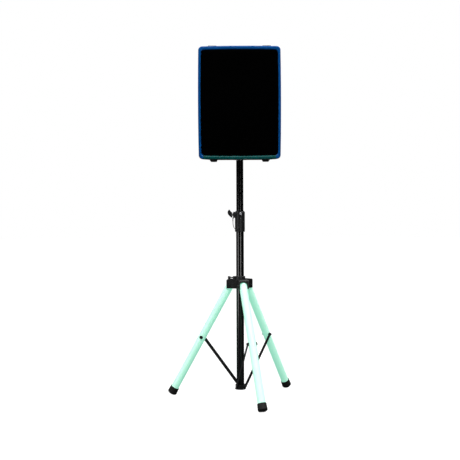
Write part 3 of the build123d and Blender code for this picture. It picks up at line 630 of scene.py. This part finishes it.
class SPEAKER_OT_lanyard(bpy.types.Operator):
    """Braided lanyard from the height clamp to the locking pin, with its two crimps"""

    bl_idname = "speaker.lanyard"
    bl_label = "Lanyard"

    radius: bpy.props.FloatProperty(name="Cord radius", subtype="DISTANCE", default=0.0015)

    def execute(self, context):
        line = cord_line(LANYARD_ROUTE)
        cord = tube_along("lanyard", line, self.radius)
        smooth(cord, 50)
        set_finish(cord, FINISHES["lanyard_cord"])
        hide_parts("pin_lanyard")
        crimps = [
            self.crimp("lanyard_clamp_crimp", LANYARD_ROUTE[0], -CLAMP_CRIMP, "stand"),
            self.crimp("lanyard_pin_crimp", LANYARD_ROUTE[-1], -PIN_CRIMP, "locking_pin"),
        ]
        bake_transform(cord)
        return {"FINISHED"}

    def crimp(self, name, top, drop, body):
        """A pressed sleeve round the cord, waisted where the tool closed it."""
        select_none()
        middle = (top[0], top[1], top[2] + drop / 2)
        bpy.ops.mesh.primitive_cylinder_add(
            vertices=24, radius=CRIMP_RADIUS, depth=abs(drop), location=middle
        )
        sleeve = bpy.context.object
        sleeve.name = name
        bpy.ops.object.mode_set(mode="EDIT")
        bpy.ops.mesh.select_all(action="SELECT")
        bpy.ops.mesh.bisect(plane_co=middle, plane_no=(0, 0, 1))
        bpy.ops.transform.resize(value=(0.82, 0.82, 1.0), center_override=middle)
        bpy.ops.object.mode_set(mode="OBJECT")
        keep_place(sleeve)
        modifier(sleeve, "BEVEL", width=0.0005, segments=2, limit_method="ANGLE")
        smooth(sleeve, 40)
        seat(sleeve, body, "black_nylon")
        return sleeve


# ---- the stand -----------------------------------------------------------------------


class SPEAKER_OT_poles(bpy.types.Operator):
    """Gloss black tubes and the parts fixed in their ends"""

    bl_idname = "speaker.poles"
    bl_label = "Poles"

    def execute(self, context):
        for node in ("main_tube", "upper_pole", "tube_end_plug", "pole_bottom_bush"):
            skin(node)
        return {"FINISHED"}


class SPEAKER_OT_legs(bpy.types.Operator):
    """Glowing leg tubes with their plugs, strips, rubber feet, bolts and struts"""

    bl_idname = "speaker.legs"
    bl_label = "Legs"

    def execute(self, context):
        for number in LEGS:
            for part in ("leg_tube", "leg_top_plug", "leg_foot", "leg_bolt", "strut"):
                skin(f"{part}_{number}")
            finish_as_is(f"leg_led_strip_{number}")
        return {"FINISHED"}


class SPEAKER_OT_fittings(bpy.types.Operator):
    """Hub, collar, height clamp, pin and knobs"""

    bl_idname = "speaker.fittings"
    bl_label = "Fittings"

    def execute(self, context):
        for node in ("hub_body", "hub_clamp_ring", "hub_pivot_pins", "hub_knob",
                     "bottom_collar", "collar_rivets", "height_clamp", "clamp_bush",
                     "clamp_knob", "locking_pin"):
            skin(node)
        return {"FINISHED"}


# ---- the cabinet ---------------------------------------------------------------------


class SPEAKER_OT_cabinet(bpy.types.Operator):
    """Textured cabinet with its handles, feet, pads and pole socket"""

    bl_idname = "speaker.cabinet"
    bl_label = "Cabinet"

    def execute(self, context):
        for node in ("cabinet_shell", "side_handles", "cabinet_feet", "top_pads",
                     "pole_socket", "front_baffle", "port_tubes"):
            skin(node)
        return {"FINISHED"}


class SPEAKER_OT_bead(bpy.types.Operator):
    """Gloss bead round the front, blue above, with teal along the bottom painted in as
    reflection of the legs' mint glow
    """

    bl_idname = "speaker.bead"
    bl_label = "Front bead"

    def execute(self, context):
        # front_rim_lower takes the teal finish, a painted reflection of the legs' mint
        # glow.
        for node in ("front_rim", "front_rim_lower"):
            skin(node, 40)
        return {"FINISHED"}


class SPEAKER_OT_grille(bpy.types.Operator):
    """Perforated steel grille with its foam"""

    bl_idname = "speaker.grille"
    bl_label = "Grille"

    foam_gap: bpy.props.FloatProperty(name="Gap", subtype="DISTANCE", default=0.0003)
    foam_thick: bpy.props.FloatProperty(name="Foam", subtype="DISTANCE", default=0.0018)
    foam_margin: bpy.props.FloatProperty(name="Margin", subtype="DISTANCE", default=0.0035)
    sheet_thick: bpy.props.FloatProperty(name="Sheet", subtype="DISTANCE", default=0.0015)

    def execute(self, context):
        looks = context.scene.cabinet_looks
        low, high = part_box("grille")
        tray = self.tray(low, looks.grille_edge)
        holes = self.holes(low, high, looks)
        make_active(tray)
        holes.select_set(True)
        bpy.ops.object.join()
        tray.name = "perforated_grille"
        smooth(tray, 30)
        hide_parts("grille")
        seat(tray, "cabinet", "grille_steel")
        self.foam(low, high)
        return {"FINISHED"}

    def tray(self, low, edge):
        """The grille's folded edge and plain band: its face, with the middle taken out."""
        tray = welded_copy("grille", "tray")
        bpy.ops.object.mode_set(mode="EDIT")
        bpy.ops.mesh.select_all(action="SELECT")
        bpy.ops.mesh.dissolve_limited(angle_limit=math.radians(1))
        bpy.ops.object.mode_set(mode="OBJECT")
        front = low.y + 0.0002
        back = low.y + self.sheet_thick
        for depth, way in ((front, -1), (back, 1)):
            bpy.ops.object.mode_set(mode="EDIT")
            bpy.ops.mesh.select_all(action="DESELECT")
            bpy.ops.mesh.select_mode(type="FACE")
            bpy.ops.object.mode_set(mode="OBJECT")
            widest = max(
                (face for face in tray.data.polygons
                 if face.normal.y * way > 0.99 and abs(face.center.y - depth) < 0.0006),
                key=lambda face: face.area,
            )
            widest.select = True
            bpy.ops.object.mode_set(mode="EDIT")
            bpy.ops.mesh.inset(thickness=edge, use_even_offset=True)
            bpy.ops.mesh.delete(type="FACE")
            bpy.ops.object.mode_set(mode="OBJECT")
        return tray

    def holes(self, low, high, looks):
        """One six-sided cell with a hole through it, copied in rows over the front."""
        pitch = looks.hole_pitch
        outer = pitch / math.sqrt(3)
        inner = outer * looks.hole_share
        row = outer * 1.5
        inset = looks.grille_edge * 0.6
        wide = high.x - low.x - 2 * inset
        tall = high.z - low.z - 2 * inset
        columns = int(wide / pitch)
        rows = int(tall / row / 2)
        corner = Vector((-columns * pitch / 2 + pitch / 4, low.y,
                         (low.z + high.z) / 2 - (2 * rows - 1) * row / 2))
        vertices = []
        faces = []
        for second in (0, 1):
            middle = corner + Vector((second * pitch / 2, 0.0, second * row))
            start = len(vertices)
            for radius, depth in ((outer, 0.0), (inner, 0.0), (inner, self.sheet_thick)):
                for side in range(6):
                    turn = math.radians(30 + 60 * side)
                    offset = Vector(
                        (radius * math.cos(turn), depth, radius * math.sin(turn))
                    )
                    vertices.append(tuple(middle + offset))
            for side in range(6):
                beside = (side + 1) % 6
                for ring in (0, 6):
                    faces.append((start + ring + side, start + ring + beside,
                                  start + ring + 6 + beside, start + ring + 6 + side))
        mesh = bpy.data.meshes.new("cells")
        mesh.from_pydata(vertices, [], faces)
        cells = bpy.data.objects.new("cells", mesh)
        bpy.context.scene.collection.objects.link(cells)
        modifier(cells, "ARRAY", count=columns, use_relative_offset=False,
                 use_constant_offset=True, constant_offset_displace=(pitch, 0, 0))
        modifier(cells, "ARRAY", count=rows, use_relative_offset=False,
                 use_constant_offset=True, constant_offset_displace=(0, 0, 2 * row))
        make_active(cells)
        bpy.ops.object.mode_set(mode="EDIT")
        bpy.ops.mesh.select_all(action="SELECT")
        bpy.ops.mesh.remove_doubles(threshold=pitch * 0.01)
        bpy.ops.object.mode_set(mode="OBJECT")
        return cells

    def foam(self, low, high):
        """Thin foam against the back of the sheet, to keep dust out of the speaker."""
        select_none()
        thick = self.foam_thick
        front = low.y + self.sheet_thick + self.foam_gap
        margin = self.foam_margin
        size = (high.x - low.x - 2 * margin, thick, high.z - low.z - 2 * margin)
        bpy.ops.mesh.primitive_cube_add(
            size=1, location=(0, front + thick / 2, (low.z + high.z) / 2)
        )
        foam = bpy.context.object
        foam.name = "grille_foam"
        foam.scale = size
        keep_place(foam)
        bpy.ops.object.mode_set(mode="EDIT")
        bpy.ops.mesh.select_all(action="SELECT")
        bpy.ops.mesh.subdivide(number_cuts=5)
        bpy.ops.object.mode_set(mode="OBJECT")
        modifier(foam, "BEVEL", width=0.0005, segments=2, limit_method="ANGLE")
        smooth(foam)
        seat(foam, "cabinet", "foam")


class SPEAKER_OT_badge(bpy.types.Operator):
    """Small plain badge low on the grille, with no lettering"""

    bl_idname = "speaker.badge"
    bl_label = "Badge"

    width: bpy.props.FloatProperty(name="Width", subtype="DISTANCE", default=0.026)
    height: bpy.props.FloatProperty(name="Height", subtype="DISTANCE", default=0.009)
    offset: bpy.props.FloatProperty(name="Offset", subtype="DISTANCE", default=0.031)
    rise: bpy.props.FloatProperty(name="Rise", subtype="DISTANCE", default=0.077)

    def execute(self, context):
        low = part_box("grille")[0]
        select_none()
        thick = 0.002
        place = (self.offset, low.y - thick / 2, low.z + self.rise)
        bpy.ops.mesh.primitive_cube_add(size=1, location=place)
        plate = context.object
        plate.name = "grille_badge"
        plate.scale = (self.width, thick, self.height)
        keep_place(plate)
        modifier(plate, "BEVEL", width=0.0008, segments=3)
        smooth(plate)
        seat(plate, "cabinet", "grille_steel")
        return {"FINISHED"}


class SPEAKER_OT_drivers(bpy.types.Operator):
    """Woofer, horn and what is behind the grille"""

    bl_idname = "speaker.drivers"
    bl_label = "Drivers"

    cap_radius: bpy.props.FloatProperty(name="Cap radius", subtype="DISTANCE", default=0.05)
    cap_rise: bpy.props.FloatProperty(name="Cap rise", subtype="DISTANCE", default=0.013)
    cap_depth: bpy.props.FloatProperty(name="Cap depth", subtype="DISTANCE", default=0.0395)

    def execute(self, context):
        for node in ("woofer_frame", "woofer_surround", "woofer_cone", "woofer_magnet",
                     "woofer_screws", "horn_flare", "compression_driver"):
            skin(node)
        self.dust_cap()
        return {"FINISHED"}

    def dust_cap(self):
        """A shallow dome that closes the middle of the cone."""
        low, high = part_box("woofer_cone")
        middle = (low + high) / 2
        rim = low.y + self.cap_depth
        select_none()
        bpy.ops.mesh.primitive_uv_sphere_add(segments=48, ring_count=24, radius=1)
        cap = bpy.context.object
        cap.name = "dust_cap"
        cap.scale = (self.cap_radius, self.cap_rise, self.cap_radius)
        cap.location = (middle.x, rim, middle.z)
        keep_place(cap)
        bpy.ops.object.mode_set(mode="EDIT")
        bpy.ops.mesh.select_all(action="SELECT")
        bpy.ops.mesh.bisect(
            plane_co=(0, rim, 0), plane_no=(0, 1, 0), clear_outer=True
        )
        bpy.ops.object.mode_set(mode="OBJECT")
        modifier(cap, "SOLIDIFY", thickness=0.0008, offset=1.0)
        smooth(cap, 50)
        seat(cap, "woofer_cone", "cone_paper")


# The dials run this many degrees each way from upright. Sizes in metres.
DIAL_TURN = 150
TICK_REACH = 0.0138
LONG_TICK_REACH = 0.0145
TICK_SIZE = (0.0007, 0.0004, 0.0026)
LINE_SIZE = (0.0012, 0.0006, 0.0052)


class SPEAKER_OT_rear(bpy.types.Operator):
    """Amplifier panel with its heat sink, controls and sockets"""

    bl_idname = "speaker.rear"
    bl_label = "Rear panel"

    ticks: bpy.props.IntProperty(name="Dial ticks", default=11)

    def execute(self, context):
        for node in ("rear_panel", "heat_sink", "input_sockets", "mains_inlet",
                     "panel_screws", "power_switch", "knob_volume", "knob_bass",
                     "knob_treble"):
            skin(node)
        finish_as_is("amp_board")
        for knob in ("knob_volume", "knob_bass", "knob_treble"):
            self.dial(knob)
        return {"FINISHED"}

    def dial(self, knob):
        """Raised ticks on the panel round a knob, and a white line on its face."""
        low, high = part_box(knob)
        middle = (low + high) / 2
        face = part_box("rear_panel")[1].y
        made = []
        for tick in range(self.ticks):
            turn = math.radians(-DIAL_TURN + 2 * DIAL_TURN * tick / (self.ticks - 1))
            reach = TICK_REACH if tick % 5 else LONG_TICK_REACH
            select_none()
            bpy.ops.mesh.primitive_cube_add(
                size=1,
                location=(middle.x + reach * math.sin(turn), face + 0.0001,
                          middle.z + reach * math.cos(turn)),
                rotation=(0, turn, 0),
            )
            mark = bpy.context.object
            mark.scale = TICK_SIZE
            keep_place(mark)
            made.append(mark)
        make_active(made[0])
        for mark in made:
            mark.select_set(True)
        bpy.ops.object.join()
        made[0].name = knob + "_ticks"
        seat(made[0], "cabinet", "mark")
        select_none()
        bpy.ops.mesh.primitive_cube_add(
            size=1, location=(middle.x, high.y - 0.0008, middle.z + 0.0055)
        )
        line = bpy.context.object
        line.name = knob + "_line"
        line.scale = LINE_SIZE
        keep_place(line)
        modifier(line, "BEVEL", width=0.0001, segments=2)
        seat(line, BODY_OF[knob], "mark")


# ---- panel and registration ----------------------------------------------------------

OPERATORS = (
    SPEAKER_OT_stage,
    SPEAKER_OT_lanyard,
    SPEAKER_OT_poles,
    SPEAKER_OT_legs,
    SPEAKER_OT_fittings,
    SPEAKER_OT_cabinet,
    SPEAKER_OT_bead,
    SPEAKER_OT_grille,
    SPEAKER_OT_badge,
    SPEAKER_OT_drivers,
    SPEAKER_OT_rear,
)


class SPEAKER_PT_pieces(bpy.types.Panel):
    bl_idname = "SPEAKER_PT_pieces"
    bl_label = "PA speaker"
    bl_space_type = "VIEW_3D"
    bl_region_type = "UI"
    bl_category = "Speaker"

    def draw(self, context):
        for operator in OPERATORS:
            self.layout.operator(operator.bl_idname)


LOOKS = (
    ("stand_looks", StandLooks),
    ("cabinet_looks", CabinetLooks),
    ("stage_looks", StageLooks),
)


def register():
    for name, looks in LOOKS:
        bpy.utils.register_class(looks)
        setattr(bpy.types.Scene, name, bpy.props.PointerProperty(type=looks))
    for operator in OPERATORS:
        bpy.utils.register_class(operator)
    bpy.utils.register_class(SPEAKER_PT_pieces)


def unregister():
    bpy.utils.unregister_class(SPEAKER_PT_pieces)
    for operator in reversed(OPERATORS):
        bpy.utils.unregister_class(operator)
    for name, looks in reversed(LOOKS):
        delattr(bpy.types.Scene, name)
        bpy.utils.unregister_class(looks)


def main():
    register()
    make_finishes()
    for operator in OPERATORS:
        group, name = operator.bl_idname.split(".")
        getattr(getattr(bpy.ops, group), name)()


if __name__ == "__main__":
    main()
